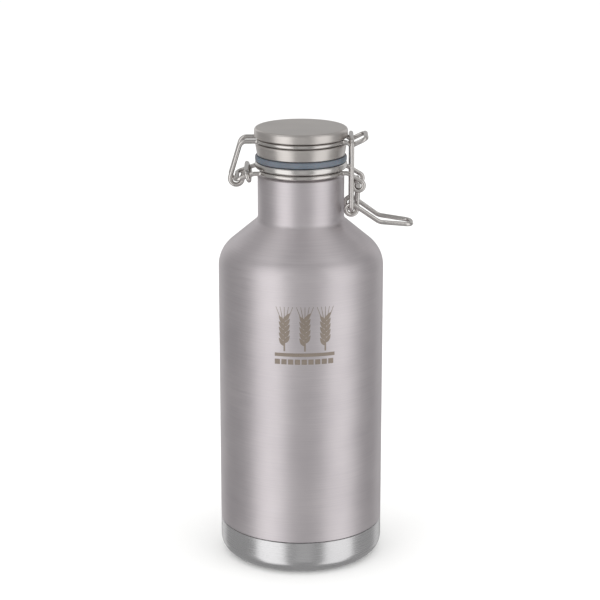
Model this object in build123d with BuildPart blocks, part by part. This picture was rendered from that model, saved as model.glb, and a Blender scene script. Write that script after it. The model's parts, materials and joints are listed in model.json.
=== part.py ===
from build123d import *
import math
import os

# Double-wall steel growler with a swing-top lid held by a wire bail latch.
#
# Frame: millimetres, +Z up, origin at the centre of the base's underside.
# The hinge is on -X, the latch on +X, and the front of the bottle faces -Y.

os.makedirs("parts", exist_ok=True)

# ---- driving dimensions: bottle ----
body_radius = 47.0
overall_height = 252.0
neck_radius = 24.5
neck_length = 33.2  # from the shoulder cone's upper corner to the top of the mouth
mouth_radius = 21.5
shell_wall = 0.8
flask_wall = 0.7
vacuum_gap = 3.2
shoulder_rise = 40.1  # degrees, slope of the shoulder cone above the horizontal
shoulder_round = 18.0
neck_root_round = 4.0
neck_groove_depth = 1.1  # rolled groove under the mouth, for the neck wire
neck_groove_entry = 1.2  # height of the slope that leads into the groove
neck_groove_round = 0.6

# ---- driving dimensions: base ----
base_height = 20.0
base_edge_round = 8.75
base_foot_width = 3.5
recess_height = 2.5
recess_round = 1.5
seam_gap = 0.3
joggle_height = 4.0
flask_floor_height = 8.0
flask_floor_round = 8.0

# ---- driving dimensions: vacuum seal and getter ----
port_radius = 1.5
port_cover_radius = 9.0
port_cover_thickness = 0.8
seal_bead_head = 0.8
seal_bead_round = 0.56
getter_radius = 4.0
getter_height = 2.0
getter_offset = 18.0
clip_strip = 0.4
clip_width = 3.0

# ---- driving dimensions: mouth ring and lid ----
collar_overhang = 1.6
collar_height = 3.8
collar_round = 1.4
gasket_height = 3.3
gasket_round = 1.0
gasket_inset = 0.2  # inside the collar
lid_cup_height = 7.3
lid_cup_inset = 1.4  # foot of the lower cup, inside the collar
lid_cup_flare = 1.2  # how much wider the lower cup is at its top
lid_cap_height = 5.5
lid_cap_overhang = 0.3  # beyond the collar
lid_cap_round = 1.8
lid_sheet = 0.8
lid_groove_depth = 2.6
plug_play = 1.9  # between the plug and the mouth
plug_depth = 2.8  # how far the plug reaches into the mouth
plug_round = 2.5

# ---- driving dimensions: wirework ----
wire_diameter = 2.5
leg_bend = 3.0  # bend between a ring and a leg
hinge_reach = 11.8  # hinge axis, outwards from the neck's surface
hinge_drop = 3.6  # hinge axis, below the neck wire's ring
hinge_leg_y = 11.6
hook_turn = 215.0
hook_leg_y = 7.2
hook_leg_reach = 9.1  # bend of the lid wire, outwards from the neck's surface
hook_leg_bend = 4.0
keeper_setback = 6.4
latch_reach = 7.7  # lever pivot, outwards from the neck's surface
latch_drop = 7.0  # lever pivot, below the neck wire's ring
latch_eye_turn = 270.0
latch_eye_run = 1.8  # from the ring's bend to the corner before an eye
lever_arm_y = 7.3
lever_arm_length = 14.6
lever_pin_bend = 1.6
lever_pin_stub = 0.2  # end of a pin, beyond its eye
lever_arm_lean = 15.1  # degrees from the vertical, towards the neck
coil_corners = 5
coil_bend_share = 0.92  # bend at a coil's corner, as a share of the coil's radius
handle_drop = 35.0  # degrees below the horizontal, from the coil to the bend
handle_run = 17.2
handle_flat_drop = 6.9
handle_flat_run = 18.3
handle_bend_y = 8.8
handle_tip_y = 5.6
handle_bend = 7.0
handle_tip_bend = 4.0
bail_leg_bend = 3.0
bail_end_stub = 0.5  # end of the bail, beyond its coil
tongue_leg_y = 9.6
tongue_dip = 1.9
tongue_lift = 4.0
tongue_reach = 8.1  # tip of the tongue, outwards from the bail's bar
tongue_bend = 2.0

# ---- clearances ----
wire_gap = 0.4  # between wires that move past each other
bar_gap = 0.9  # between the bail's bar and the lowest point of the tongue
groove_gap = 0.05  # between a ring and the floor of its groove
groove_play = 0.25  # above and below a ring in its groove
seat_gap = 0.1  # under the gasket
hook_play = 1.0  # added to the wire's diameter, for the radius of a hook's centre line
eye_play = 0.45  # the same for the eyes of the lever's pins
coil_play = 0.7  # the same for the coils that carry the bail
hang_gap = 0.3  # between the lever's pin end and the bail's leg
floor_gap = 0.15  # between the two halves of nested sheet parts

# ---- derived: heights ----
wire_radius = wire_diameter / 2
hook_radius = wire_diameter + hook_play
latch_eye_radius = wire_diameter + eye_play
coil_radius = wire_diameter + coil_play
groove_height = wire_diameter + 2 * groove_play
lid_cap_z = overall_height - lid_cap_height
lid_cup_top_z = lid_cap_z - groove_height
lid_cup_z = lid_cup_top_z - lid_cup_height
gasket_z = lid_cup_z - gasket_height
mouth_z = gasket_z - seat_gap
collar_z = mouth_z - collar_height
lid_ring_z = lid_cap_z - groove_height / 2
neck_ring_z = collar_z - groove_height / 2
neck_root_z = mouth_z - neck_length
hinge_z = neck_ring_z - hinge_drop
latch_z = neck_ring_z - latch_drop

# ---- derived: radii ----
collar_radius = neck_radius + collar_overhang
lid_cap_radius = collar_radius + lid_cap_overhang
groove_radius = neck_radius - neck_groove_depth
neck_ring_radius = groove_radius + groove_gap + wire_radius
flask_radius = body_radius - shell_wall - vacuum_gap
flask_neck_radius = mouth_radius + flask_wall
lid_cup_low_radius = collar_radius - lid_cup_inset
lid_cup_top_radius = lid_cup_low_radius + lid_cup_flare
lid_groove_radius = lid_cup_top_radius - lid_groove_depth
lid_ring_radius = lid_groove_radius + groove_gap + wire_radius
gasket_radius = collar_radius - gasket_inset
plug_radius = mouth_radius - plug_play

# ---- derived: shoulder corners of the outer shell and the inner flask ----
shoulder_slope = math.tan(math.radians(shoulder_rise))
wall_step = shell_wall + vacuum_gap
cone_step = wall_step / math.cos(math.radians(shoulder_rise))
shell_corner_z = neck_root_z - (body_radius - neck_radius) * shoulder_slope
flask_root_z = neck_root_z + (neck_radius - flask_neck_radius) * shoulder_slope - cone_step
flask_corner_z = neck_root_z - (flask_radius - neck_radius) * shoulder_slope - cone_step

# ---- derived: pivots and the bail's bar, as (x, z) ----
hinge_x = -(neck_radius + hinge_reach)
latch_x = neck_radius + latch_reach
arm_lean = math.radians(lever_arm_lean)
coil_x = latch_x - lever_arm_length * math.sin(arm_lean)
coil_z = latch_z - lever_arm_length * math.cos(arm_lean)
coil_pitch = wire_diameter + groove_gap * 2
latch_eye_y = lever_arm_y + wire_diameter + wire_gap
pin_end_y = latch_eye_y + wire_radius + lever_pin_stub
bail_leg_y = pin_end_y + hang_gap + wire_radius
bail_end_y = lever_arm_y - wire_radius - bail_end_stub
tongue_z = lid_ring_z - tongue_dip
bar_z = tongue_z + wire_diameter + bar_gap


def at(x, y, z):
    """A point, written in the object's frame."""
    return Vector(x, y, z)


def turned(center_x, center_z, radius, degrees):
    """The (x, z) point at an angle on an upright circle; angles run from +X towards +Z."""
    angle = math.radians(degrees)
    return center_x + radius * math.cos(angle), center_z + radius * math.sin(angle)


def upright_arc(center, radius, start, turn, y):
    """An arc about an axis along Y, from a start angle through a turn in degrees."""
    points = [turned(*center, radius, start + turn * part) for part in (0, 0.5, 1)]
    return ThreePointArc(*[at(x, y, z) for x, z in points])


def tangent(point, center, radius, side):
    """Direction, in degrees, and touching point of the line from a point to a circle."""
    dx = center[0] - point[0]
    dz = center[1] - point[1]
    distance = math.hypot(dx, dz)
    direction = math.degrees(math.atan2(dz, dx) + side * math.asin(radius / distance))
    reach = math.sqrt(distance**2 - radius**2)
    return direction, turned(*point, reach, direction)


def leg_start(ring_radius, leg_y):
    """Distance from the axis at which a leg leaves its ring, after the bend."""
    return math.sqrt((ring_radius + leg_bend) ** 2 - (leg_y + leg_bend) ** 2)


def level_bend(ring_radius, leg_y, side, z):
    """The level bend from a ring, at the front, to a leg that runs outwards on one side."""
    center_x = side * leg_start(ring_radius, leg_y)
    center_y = -(leg_y + leg_bend)
    on_ring = ring_radius / (ring_radius + leg_bend)
    ring_angle = math.atan2(-center_y, -center_x)
    leg_angle = math.pi / 2
    middle = (ring_angle + leg_angle) / 2
    points = [
        at(center_x * on_ring, center_y * on_ring, z),
        at(center_x + leg_bend * math.cos(middle), center_y + leg_bend * math.sin(middle), z),
        at(center_x, -leg_y, z),
    ]
    return ThreePointArc(*points)


def ring_front(ring_radius, left_leg_y, right_leg_y, z):
    """The front half of a ring, between its bends to the left legs and the right legs."""
    on_ring = ring_radius / (ring_radius + leg_bend)
    left = leg_start(ring_radius, left_leg_y) * on_ring
    right = leg_start(ring_radius, right_leg_y) * on_ring
    left_point = at(-left, -(left_leg_y + leg_bend) * on_ring, z)
    right_point = at(right, -(right_leg_y + leg_bend) * on_ring, z)
    return ThreePointArc(left_point, at(0, -ring_radius, z), right_point)


def section_plane(path):
    """The plane across the start of a wire's path."""
    wire = path.wire()
    return Plane(origin=wire @ 0, z_dir=wire % 0)


# ================= bottle =================

# Outer shell: body, shoulder, neck and the rolled groove for the neck wire.
with BuildPart() as outer_shell:
    with BuildSketch(Plane.XZ):
        with BuildLine():
            FilletPolyline(
                (body_radius, base_height + seam_gap / 2),
                (body_radius, shell_corner_z),
                (neck_radius, neck_root_z),
                (neck_radius, collar_z - groove_height - neck_groove_entry),
                (groove_radius, collar_z - groove_height),
                (groove_radius, collar_z),
                radius=[shoulder_round, neck_root_round, neck_groove_round, neck_groove_round],
            )
            offset(amount=shell_wall, side=Side.LEFT)
        make_face()
    revolve(axis=Axis.Z)
outer_shell.part.label = "outer_shell"

# Base cup: rounded foot, recessed middle with the vacuum port, and a joggled lip
# that the outer shell slides over before the seam is welded.
recess_radius = body_radius - base_edge_round - base_foot_width
joggle_radius = body_radius - shell_wall - groove_gap
with BuildPart() as base_cup:
    with BuildSketch(Plane.XZ):
        with BuildLine():
            FilletPolyline(
                (0, recess_height),
                (recess_radius - recess_height, recess_height),
                (recess_radius, 0),
                (body_radius, 0),
                (body_radius, base_height - seam_gap / 2),
                radius=[recess_round, recess_round, base_edge_round],
            )
            offset(amount=shell_wall, side=Side.LEFT)
        make_face()
        with Locations((joggle_radius - shell_wall / 2, base_height)):
            Rectangle(shell_wall + 2 * groove_gap, 2 * joggle_height)
    revolve(axis=Axis.Z)
    Cylinder(port_radius, 4 * recess_height, mode=Mode.SUBTRACT)
base_cup.part.label = "base_cup"

# Inner flask: the wall that holds the drink, parallel to the outer shell.
with BuildPart() as inner_flask:
    with BuildSketch(Plane.XZ):
        with BuildLine():
            FilletPolyline(
                (flask_radius, flask_floor_height + 2 * flask_floor_round),
                (flask_radius, flask_corner_z),
                (flask_neck_radius, flask_root_z),
                (flask_neck_radius, collar_z),
                radius=[shoulder_round - wall_step, neck_root_round + wall_step],
            )
            offset(amount=flask_wall, side=Side.LEFT)
        make_face()
    revolve(axis=Axis.Z)
inner_flask.part.label = "inner_flask"

# Inner base: the dished floor welded to the inner flask.
with BuildPart() as inner_base:
    with BuildSketch(Plane.XZ):
        with BuildLine():
            FilletPolyline(
                (0, flask_floor_height),
                (flask_radius, flask_floor_height),
                (flask_radius, flask_floor_height + 2 * flask_floor_round),
                radius=flask_floor_round,
            )
            offset(amount=flask_wall, side=Side.LEFT)
        make_face()
    revolve(axis=Axis.Z)
inner_base.part.label = "inner_base"

# Neck collar: the rounded mouth ring that joins the outer shell and the inner flask.
with BuildPart() as neck_collar:
    with BuildSketch(Plane.XY.offset(collar_z)):
        Circle(collar_radius)
        Circle(mouth_radius, mode=Mode.SUBTRACT)
    extrude(amount=collar_height)
    outer_edges = neck_collar.edges().filter_by(GeomType.CIRCLE).group_by(SortBy.RADIUS)[-1]
    fillet(outer_edges, radius=collar_round)
neck_collar.part.label = "neck_collar"

# Vacuum port: a solder bead closes the hole, and a round cover hides it.
port_floor_z = recess_height + shell_wall
with BuildPart() as vacuum_seal_bead:
    with BuildSketch(Plane.XY.offset(recess_height)):
        Circle(port_radius)
    extrude(amount=shell_wall)
    with BuildSketch(Plane.XY.offset(port_floor_z)):
        Circle(port_radius * 2)
    extrude(amount=seal_bead_head)
    bead_top = vacuum_seal_bead.edges().filter_by(GeomType.CIRCLE).group_by(Axis.Z)[-1]
    fillet(bead_top, radius=seal_bead_round)
vacuum_seal_bead.part.label = "vacuum_seal_bead"

with BuildPart() as vacuum_port_cover:
    with BuildSketch(Plane.XY.offset(recess_height)):
        Circle(port_cover_radius)
    extrude(amount=-port_cover_thickness)
    cover_rim = vacuum_port_cover.edges().filter_by(GeomType.CIRCLE).group_by(Axis.Z)[0]
    fillet(cover_rim, radius=port_cover_thickness / 2)
vacuum_port_cover.part.label = "vacuum_port_cover"

# Getter: a pill held under the inner base by a spot-welded strip.
getter_top_z = flask_floor_height
getter_plane = Plane(origin=(getter_offset, 0, getter_top_z))
with BuildPart() as getter:
    with BuildSketch(getter_plane):
        Circle(getter_radius)
    extrude(amount=-getter_height)
getter.part.label = "getter"

clip_half = getter_radius + clip_strip
clip_floor_z = getter_top_z - getter_height - clip_strip
with BuildPart() as getter_clip:
    with BuildSketch(Plane(origin=(getter_offset, 0, clip_floor_z))):
        Rectangle(2 * clip_half, clip_width)
    extrude(amount=getter_height + clip_strip)
    with BuildSketch(Plane(origin=(getter_offset, 0, clip_floor_z + clip_strip))):
        Circle(getter_radius)
    extrude(amount=getter_height, mode=Mode.SUBTRACT)
getter_clip.part.label = "getter_clip"

# Neck wire, front half: hinge bar, leg, ring and the eye for the lever's pin.
hinge_leg_x = -leg_start(neck_ring_radius, hinge_leg_y)
eye_leg_x = leg_start(neck_ring_radius, latch_eye_y)
eye_turn_point = (eye_leg_x + latch_eye_run, neck_ring_z)
latch = (latch_x, latch_z)
eye_direction, eye_point = tangent(eye_turn_point, latch, latch_eye_radius, 1)
with BuildPart() as neck_wire:
    with BuildLine() as neck_wire_path:
        FilletPolyline(
            at(hinge_x, 0, hinge_z),
            at(hinge_x, -hinge_leg_y, hinge_z),
            at(hinge_leg_x - leg_bend, -hinge_leg_y, neck_ring_z),
            at(hinge_leg_x, -hinge_leg_y, neck_ring_z),
            radius=[leg_bend, leg_bend],
        )
        level_bend(neck_ring_radius, hinge_leg_y, -1, neck_ring_z)
        ring_front(neck_ring_radius, hinge_leg_y, latch_eye_y, neck_ring_z)
        level_bend(neck_ring_radius, latch_eye_y, 1, neck_ring_z)
        FilletPolyline(
            at(eye_leg_x, -latch_eye_y, neck_ring_z),
            at(eye_turn_point[0], -latch_eye_y, neck_ring_z),
            at(eye_point[0], -latch_eye_y, eye_point[1]),
            radius=leg_bend,
        )
        upright_arc(latch, latch_eye_radius, eye_direction + 90, -latch_eye_turn, -latch_eye_y)
    with BuildSketch(section_plane(neck_wire_path)):
        Circle(wire_radius)
    sweep(path=neck_wire_path.wire())
    mirror(about=Plane.XZ)
neck_wire.part.label = "neck_wire"

# Hinge keeper: an oval ring that holds the two hinge legs of the neck wire together.
leg_run_x = hinge_leg_x - leg_bend - hinge_x
leg_slope = hinge_drop / leg_run_x
keeper_plane = Plane(
    origin=(hinge_x + keeper_setback, 0, hinge_z + keeper_setback * leg_slope),
    x_dir=(0, 1, 0),
    z_dir=(1, 0, leg_slope),
)
keeper_half_height = wire_diameter + floor_gap
keeper_half_width = hinge_leg_y + keeper_half_height
with BuildPart() as hinge_keeper:
    with BuildLine(keeper_plane) as keeper_path:
        FilletPolyline(
            (-keeper_half_width, -keeper_half_height),
            (keeper_half_width, -keeper_half_height),
            (keeper_half_width, keeper_half_height),
            (-keeper_half_width, keeper_half_height),
            radius=keeper_half_height - groove_gap,
            close=True,
        )
    with BuildSketch(section_plane(keeper_path)):
        Circle(wire_radius)
    sweep(path=keeper_path.wire())
hinge_keeper.part.label = "hinge_keeper"

# ================= lid =================

# Top cap: a pressed disc with a turned-down skirt and a rim turned in under the edge.
with BuildPart() as lid_top_cap:
    with BuildSketch(Plane.XZ):
        with BuildLine():
            FilletPolyline(
                (0, overall_height),
                (lid_cap_radius, overall_height),
                (lid_cap_radius, lid_cap_z),
                (lid_groove_radius, lid_cap_z),
                radius=[lid_cap_round, lid_sheet + floor_gap],
            )
            offset(amount=lid_sheet, side=Side.RIGHT)
        make_face()
    revolve(axis=Axis.Z)
lid_top_cap.part.label = "lid_top_cap"

# Lower cup: flared wall between the lid wire's groove and the gasket.
with BuildPart() as lid_lower_cup:
    with BuildSketch(Plane.XZ):
        with BuildLine():
            FilletPolyline(
                (plug_radius, lid_cup_z),
                (lid_cup_low_radius, lid_cup_z),
                (lid_cup_top_radius, lid_cup_top_z),
                (lid_groove_radius, lid_cup_top_z),
                radius=[lid_sheet + floor_gap, lid_sheet + floor_gap],
            )
            offset(amount=lid_sheet, side=Side.LEFT)
        make_face()
    revolve(axis=Axis.Z)
lid_lower_cup.part.label = "lid_lower_cup"

# Lid core: the moulded body that fills the cap, the groove, the cup and the plug.
core_cap_radius = lid_cap_radius - lid_sheet - floor_gap
core_cup_radius = lid_cup_low_radius - lid_sheet - 3 * floor_gap
core_plug_radius = plug_radius - lid_sheet - floor_gap
with BuildPart() as lid_core:
    with BuildSketch(Plane.XY.offset(mouth_z - plug_depth + lid_sheet)):
        Circle(core_plug_radius - plug_round)
    extrude(amount=overall_height - lid_sheet - mouth_z + plug_depth - lid_sheet)
    with BuildSketch(Plane.XY.offset(mouth_z)):
        Circle(core_plug_radius)
    extrude(amount=lid_cup_z + lid_sheet - mouth_z)
    with BuildSketch(Plane.XY.offset(lid_cup_z + lid_sheet)):
        Circle(core_cup_radius)
    extrude(amount=lid_cup_height - 2 * lid_sheet)
    with BuildSketch(Plane.XY.offset(lid_cup_top_z - lid_sheet)):
        Circle(lid_groove_radius)
    extrude(amount=groove_height + 2 * lid_sheet)
    with BuildSketch(Plane.XY.offset(lid_cap_z + lid_sheet)):
        Circle(core_cap_radius)
    extrude(amount=lid_cap_height - 2 * lid_sheet)
    cap_top_edge = lid_core.edges().filter_by(GeomType.CIRCLE).group_by(Axis.Z)[-1]
    fillet(cap_top_edge, radius=lid_cap_round)
lid_core.part.label = "lid_core"

# Bottom pan: the steel face of the plug, open towards the core.
with BuildPart() as lid_bottom_pan:
    with BuildSketch(Plane.XZ):
        with BuildLine():
            FilletPolyline(
                (0, mouth_z - plug_depth),
                (plug_radius, mouth_z - plug_depth),
                (plug_radius, lid_cup_z),
                radius=plug_round,
            )
            offset(amount=lid_sheet, side=Side.LEFT)
        make_face()
    revolve(axis=Axis.Z)
lid_bottom_pan.part.label = "lid_bottom_pan"

# Gasket: the silicone ring squeezed between the lid and the mouth.
with BuildPart() as lid_gasket:
    with BuildSketch(Plane.XY.offset(gasket_z)):
        Circle(gasket_radius)
        Circle(plug_radius, mode=Mode.SUBTRACT)
    extrude(amount=gasket_height)
    gasket_rims = lid_gasket.edges().filter_by(GeomType.CIRCLE).group_by(SortBy.RADIUS)[-1]
    fillet(gasket_rims, radius=gasket_round)
lid_gasket.part.label = "lid_gasket"

# Lid wire, front half: tongue tip, tongue, ring, leg and the hook round the hinge bar.
hook_leg_x = -leg_start(lid_ring_radius, hook_leg_y)
tongue_leg_x = leg_start(lid_ring_radius, tongue_leg_y)
tongue_tip_x = coil_x + tongue_reach
hinge = (hinge_x, hinge_z)
hook_corner = (-(neck_radius + hook_leg_reach), lid_ring_z)
hook_direction, hook_point = tangent(hook_corner, hinge, hook_radius, -1)
with BuildPart() as lid_wire:
    with BuildLine() as lid_wire_path:
        FilletPolyline(
            at(tongue_tip_x, 0, tongue_z + tongue_lift),
            at(tongue_tip_x, -tongue_leg_y, tongue_z + tongue_lift),
            at(coil_x, -tongue_leg_y, tongue_z),
            at(tongue_leg_x + tongue_bend / 2, -tongue_leg_y, lid_ring_z),
            at(tongue_leg_x, -tongue_leg_y, lid_ring_z),
            radius=[leg_bend, tongue_bend, tongue_bend],
        )
        level_bend(lid_ring_radius, tongue_leg_y, 1, lid_ring_z)
        ring_front(lid_ring_radius, hook_leg_y, tongue_leg_y, lid_ring_z)
        level_bend(lid_ring_radius, hook_leg_y, -1, lid_ring_z)
        FilletPolyline(
            at(hook_leg_x, -hook_leg_y, lid_ring_z),
            at(hook_corner[0], -hook_leg_y, lid_ring_z),
            at(hook_point[0], -hook_leg_y, hook_point[1]),
            radius=hook_leg_bend,
        )
        upright_arc(hinge, hook_radius, hook_direction - 90, hook_turn, -hook_leg_y)
    with BuildSketch(section_plane(lid_wire_path)):
        Circle(wire_radius)
    sweep(path=lid_wire_path.wire())
    mirror(about=Plane.XZ)
lid_wire.part.label = "lid_wire"

# ================= latch =================

# Lever: pins in the neck wire's eyes, arms, coils that carry the bail, and the handle.
arm_direction = tangent(latch, (coil_x, coil_z), coil_radius, 1)[0]
coil_turn = arm_direction + 360 + handle_drop
corner_turn = coil_turn / coil_corners
corner_radius = coil_radius / math.cos(math.radians(corner_turn / 2))
lever_points = [at(latch_x, -pin_end_y, latch_z), at(latch_x, -lever_arm_y, latch_z)]
for corner in range(coil_corners):
    corner_angle = arm_direction + 90 - corner_turn * (corner + 0.5)
    corner_x, corner_z = turned(coil_x, coil_z, corner_radius, corner_angle)
    corner_y = lever_arm_y + coil_pitch * corner / (coil_corners - 1)
    lever_points.append(at(corner_x, -corner_y, corner_z))
bend_start = turned(coil_x, coil_z, coil_radius, 90 - handle_drop)
bend_x, bend_z = turned(*bend_start, handle_run, -handle_drop)
tip_x, tip_z = turned(bend_x, bend_z, handle_flat_run, -handle_flat_drop)
lever_points += [
    at(bend_x, -handle_bend_y, bend_z),
    at(tip_x, -handle_tip_y, tip_z),
    at(tip_x, 0, tip_z),
]
coil_bends = [coil_radius * coil_bend_share] * coil_corners
with BuildPart() as lever_wire:
    with BuildLine() as lever_wire_path:
        FilletPolyline(
            lever_points,
            radius=[lever_pin_bend, *coil_bends, handle_bend, handle_tip_bend],
        )
    with BuildSketch(section_plane(lever_wire_path)):
        Circle(wire_radius)
    sweep(path=lever_wire_path.wire())
    mirror(about=Plane.XZ)
lever_wire.part.label = "lever_wire"

# Bail: its turned-in ends ride in the lever's coils, and its bar holds the tongue down.
with BuildPart() as bail_wire:
    with BuildLine() as bail_wire_path:
        FilletPolyline(
            at(coil_x, -bail_end_y, coil_z),
            at(coil_x, -bail_leg_y, coil_z),
            at(coil_x, -bail_leg_y, bar_z),
            at(coil_x, 0, bar_z),
            radius=[bail_leg_bend, bail_leg_bend],
        )
    with BuildSketch(section_plane(bail_wire_path)):
        Circle(wire_radius)
    sweep(path=bail_wire_path.wire())
    mirror(about=Plane.XZ)
bail_wire.part.label = "bail_wire"

# ================= files =================

wire_paths = {
    neck_wire: neck_wire_path,
    lid_wire: lid_wire_path,
    lever_wire: lever_wire_path,
    bail_wire: bail_wire_path,
}
wire_area = math.pi * wire_radius**2
for wire_part, path in wire_paths.items():
    length = 2 * path.wire().length
    ratio = wire_part.part.volume / (length * wire_area)
    print(wire_part.part.label, "wire length", round(length, 1), "mm, volume ratio", round(ratio, 3))

print("hinge", round(hinge_x, 3), round(hinge_z, 3), "latch", round(latch_x, 3), round(latch_z, 3))
print("coil", round(coil_x, 3), round(coil_z, 3), "bar", round(coil_x, 3), round(bar_z, 3))

export_step(outer_shell.part, "parts/outer_shell.step")
export_step(base_cup.part, "parts/base_cup.step")
export_step(inner_flask.part, "parts/inner_flask.step")
export_step(inner_base.part, "parts/inner_base.step")
export_step(neck_collar.part, "parts/neck_collar.step")
export_step(vacuum_seal_bead.part, "parts/vacuum_seal_bead.step")
export_step(vacuum_port_cover.part, "parts/vacuum_port_cover.step")
export_step(getter.part, "parts/getter.step")
export_step(getter_clip.part, "parts/getter_clip.step")
export_step(neck_wire.part, "parts/neck_wire.step")
export_step(hinge_keeper.part, "parts/hinge_keeper.step")
export_step(lid_top_cap.part, "parts/lid_top_cap.step")
export_step(lid_lower_cup.part, "parts/lid_lower_cup.step")
export_step(lid_core.part, "parts/lid_core.step")
export_step(lid_bottom_pan.part, "parts/lid_bottom_pan.step")
export_step(lid_gasket.part, "parts/lid_gasket.step")
export_step(lid_wire.part, "parts/lid_wire.step")
export_step(lever_wire.part, "parts/lever_wire.step")
export_step(bail_wire.part, "parts/bail_wire.step")
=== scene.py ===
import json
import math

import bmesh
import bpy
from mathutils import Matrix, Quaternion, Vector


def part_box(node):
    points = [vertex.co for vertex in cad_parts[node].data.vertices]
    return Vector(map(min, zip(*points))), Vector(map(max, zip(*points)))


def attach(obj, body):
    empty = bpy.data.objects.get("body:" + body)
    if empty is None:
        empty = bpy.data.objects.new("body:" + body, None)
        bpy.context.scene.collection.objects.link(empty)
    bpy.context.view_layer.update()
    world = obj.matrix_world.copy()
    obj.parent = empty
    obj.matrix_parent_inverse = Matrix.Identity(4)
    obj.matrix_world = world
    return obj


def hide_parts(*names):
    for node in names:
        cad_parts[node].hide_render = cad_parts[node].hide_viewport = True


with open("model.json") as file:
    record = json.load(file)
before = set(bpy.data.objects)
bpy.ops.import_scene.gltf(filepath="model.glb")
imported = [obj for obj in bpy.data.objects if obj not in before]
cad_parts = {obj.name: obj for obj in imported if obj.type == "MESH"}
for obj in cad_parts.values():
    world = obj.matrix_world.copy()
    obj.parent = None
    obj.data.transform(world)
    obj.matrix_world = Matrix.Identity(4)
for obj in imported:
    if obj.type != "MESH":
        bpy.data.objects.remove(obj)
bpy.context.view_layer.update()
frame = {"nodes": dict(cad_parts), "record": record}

# %% [markdown]
# # A steel growler with a swing-top lid
#
# The bottle is a body of revolution and its latch is bent wire. The frame that was just loaded
# holds every piece at its real place, so this lesson only makes smooth skins for the pieces
# that show, and finishes for all of them. Sizes are in millimetres, as on a drawing, and become
# metres when a mesh is made.

MM = 0.001
joints = {joint["name"]: joint for joint in frame["record"]["behaviour"]["joints"]}


def top_of(name):
    """The height of a node's highest point, in millimetres."""
    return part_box(name)[1][2] / MM


def foot_of(name):
    """The height of a node's lowest point, in millimetres."""
    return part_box(name)[0][2] / MM


def reach_of(name):
    """How far a node reaches from the bottle's axis along Y, in millimetres."""
    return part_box(name)[1][1] / MM


def pivot(name):
    """A hinge's place in the front view, as (x, z) in millimetres."""
    x, _, z = joints[name]["pos_m"]
    return x / MM, z / MM


print("bottle height", round(top_of("lid_top_cap"), 1), "mm, nodes", len(frame["nodes"]))

# %% [markdown]
# ## Finishes
#
# Each finish is named for the real material and the way its surface was made. Colours are sRGB
# hex values, turned to linear light by one function. Patterns read Object coordinates, which are
# metres here, so a pattern's scale is one over its real size.

# %% Colour and node helpers


def linear(hex_colour):
    """An sRGB hex colour as linear red, green, blue and alpha."""
    parts = [int(hex_colour[i : i + 2], 16) / 255 for i in (0, 2, 4)]
    return [v / 12.92 if v <= 0.04045 else ((v + 0.055) / 1.055) ** 2.4 for v in parts] + [1.0]


def add(tree, kind, inputs=None, **settings):
    """Adds a node, sets its properties, and fills or links its inputs."""
    made = tree.nodes.new(kind)
    for name, value in settings.items():
        setattr(made, name, value)
    for socket, value in (inputs or {}).items():
        if isinstance(value, bpy.types.NodeSocket):
            tree.links.new(value, made.inputs[socket])
        else:
            made.inputs[socket].default_value = value
    return made


def stretched_noise(tree, height, length, detail=2.0):
    """Noise whose grains are as high and as long as two sizes in millimetres."""
    place = add(tree, "ShaderNodeTexCoord").outputs["Object"]
    scale = (1 / (length * MM), 1 / (length * MM), 1 / (height * MM))
    mapped = add(tree, "ShaderNodeMapping", {"Vector": place, "Scale": scale})
    inputs = {"Vector": mapped.outputs["Vector"], "Scale": 1.0, "Detail": detail}
    return add(tree, "ShaderNodeTexNoise", inputs).outputs["Fac"]


print("half-bright sRGB grey in linear light", round(linear("808080")[0], 3))

# %% [markdown]
# Steel and mouldings differ in their numbers, not in their layers: slow clouds of colour, a
# grain in the colour and the roughness, and the same grain as a very low relief. So one function
# lays them all. What is uniform, such as metalness or IOR, is set on the shader's own socket.

# %% One finish from clouds and grain
ROUGHNESS_SWING = 0.05


def grained(name, light, dark, roughness, grain, cloud=28.0, depth=0.012, **surface):
    """A finish between two hex colours. The grain is (height, length), the cloud and the
    relief's depth are sizes too, all in millimetres."""
    material = bpy.data.materials.new(name)
    material.use_nodes = True
    tree = material.node_tree
    tree.nodes.clear()
    clouds = stretched_noise(tree, cloud, cloud)
    grains = stretched_noise(tree, *grain, detail=3.0)
    both = add(tree, "ShaderNodeMath", {0: clouds, 1: grains}, operation="ADD").outputs[0]
    share = {"Value": both, "From Min": 0.7, "From Max": 1.3}
    tone = add(tree, "ShaderNodeMapRange", share).outputs["Result"]
    colours = {"Factor": tone, "A": linear(dark), "B": linear(light)}
    colour = add(tree, "ShaderNodeMix", colours, data_type="RGBA").outputs["Result"]
    limits = {"Value": grains, "From Min": 0.3, "From Max": 0.7}
    limits |= {"To Min": roughness - ROUGHNESS_SWING, "To Max": roughness + ROUGHNESS_SWING}
    matt = add(tree, "ShaderNodeMapRange", limits).outputs["Result"]
    relief = {"Height": grains, "Strength": 0.35, "Distance": depth * MM}
    bumps = add(tree, "ShaderNodeBump", relief).outputs["Normal"]
    coat = {"Base Color": colour, "Roughness": matt, "Normal": bumps, **surface}
    shader = add(tree, "ShaderNodeBsdfPrincipled", coat)
    add(tree, "ShaderNodeOutputMaterial", {"Surface": shader.outputs["BSDF"]})
    return material


print("roughness swings by", ROUGHNESS_SWING, "to each side")

# %% [markdown]
# Stainless steel sheet is 18/8 alloy. The body is brushed round its axis on a lathe, so its
# grain runs level. Real brush lines are about 0.05 mm apart, too fine to show, so the pattern
# here is 0.35 mm high and 25 mm long. The base band is brushed finer and shines more; the wire
# is drawn through a die and polished.

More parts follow.
